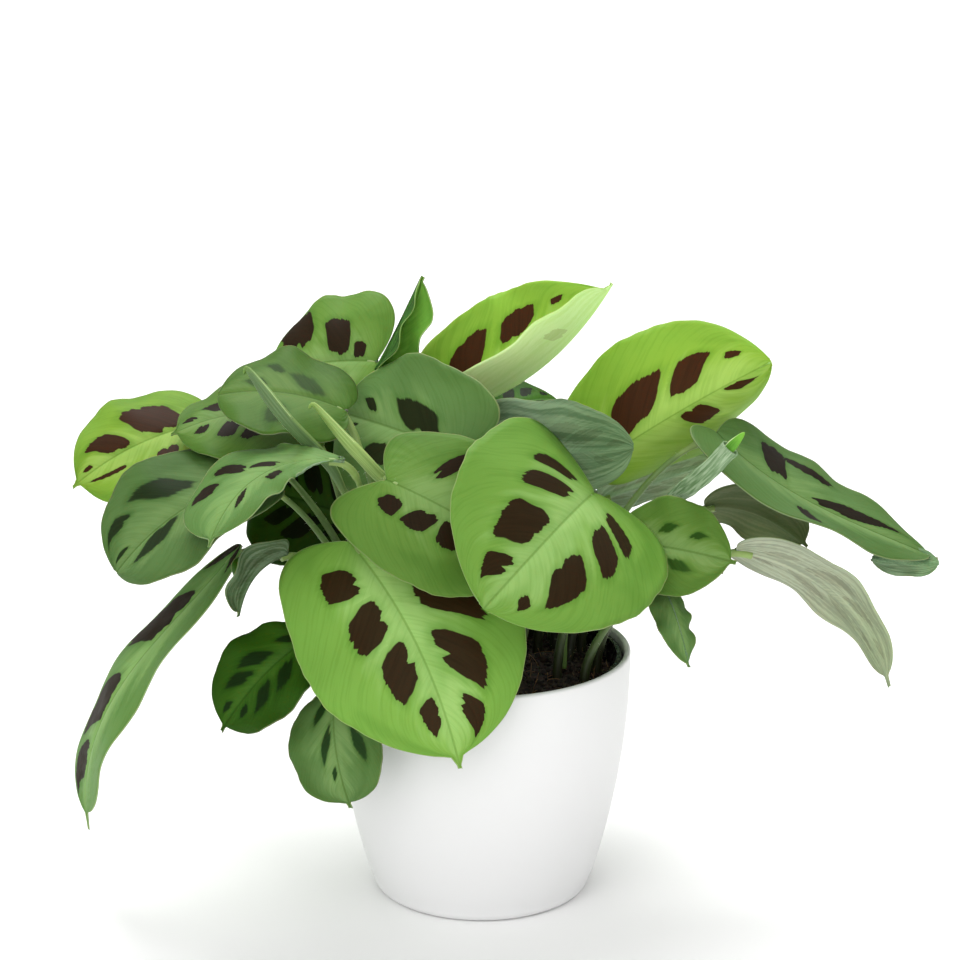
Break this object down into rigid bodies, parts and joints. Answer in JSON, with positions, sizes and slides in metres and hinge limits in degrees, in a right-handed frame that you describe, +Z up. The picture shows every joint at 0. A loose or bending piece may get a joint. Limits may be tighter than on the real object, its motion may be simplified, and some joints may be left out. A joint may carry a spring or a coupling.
{
  "type": "potted prayer plant",
  "caption": "Potted prayer plant with broad blotched leaves on thin stalks, growing from soil in a black nursery pot inside a round white cover pot.",
  "frame": {"origin": "middle of the cover pot's foot, on the surface it stands on", "axes": "+Z up, -Y towards the side that the picture shows, +X to the viewer's right"},
  "size_m": [0.3954, 0.2295, 0.2734],
  "materials": {
    "cover_pot": "satin white",
    "nursery_pot": "glossy black",
    "soil": "dark peat crumbs and fibres",
    "leaf_lime": "yellow-green leaf with dark blotches, satin",
    "leaf_mid": "mid-green leaf with dark blotches, satin",
    "leaf_pale": "pale green leaf, satin",
    "leaf_blue": "blue-green leaf with dark blotches, satin",
    "leaf_dark": "shaded dark green leaf, satin",
    "leaf_rolled": "pale green rolled new leaf, satin"
  },
  "bodies": {
    "root": {"cover_pot": "cover_pot", "nursery_pot": "nursery_pot", "soil": "soil", "leaf_front_over_rim": "leaf_mid", "leaf_front_centre": "leaf_mid", "leaf_behind_centre": "leaf_mid", "leaf_middle_left": "leaf_blue", "leaf_top_half_rolled": "leaf_lime", "leaf_upper_right": "leaf_lime", "leaf_middle_curled": "leaf_blue", "leaf_right_underside": "leaf_blue", "leaf_right_bright": "leaf_mid", "leaf_right_hanging": "leaf_blue", "leaf_right_dull": "leaf_blue", "leaf_far_right_long": "leaf_blue", "leaf_far_right_low": "leaf_pale", "leaf_top_inside": "leaf_dark", "leaf_top_left": "leaf_mid", "leaf_left_behind": "leaf_mid", "leaf_left_pale": "leaf_pale", "leaf_far_left_lime": "leaf_lime", "leaf_left_broad": "leaf_blue", "leaf_left_front": "leaf_blue", "leaf_far_left_hanging": "leaf_blue", "leaf_left_small": "leaf_dark", "leaf_low_left_dark": "leaf_dark", "leaf_low_left_by_pot": "leaf_blue", "leaf_top_folded": "leaf_dark", "leaf_left_inside": "leaf_dark", "leaf_back_right": "leaf_mid", "leaf_back_left": "leaf_mid", "leaf_back_over_rim": "leaf_blue", "leaf_back_far_right": "leaf_blue", "leaf_back_far_left": "leaf_mid", "leaf_back_right_flat": "leaf_dark", "leaf_back_top_left": "leaf_mid", "leaf_back_top_right": "leaf_lime", "new_leaf_right": "leaf_rolled", "new_leaf_left_long": "leaf_rolled", "new_leaf_left_short": "leaf_rolled"}
  },
  "joints": []
}
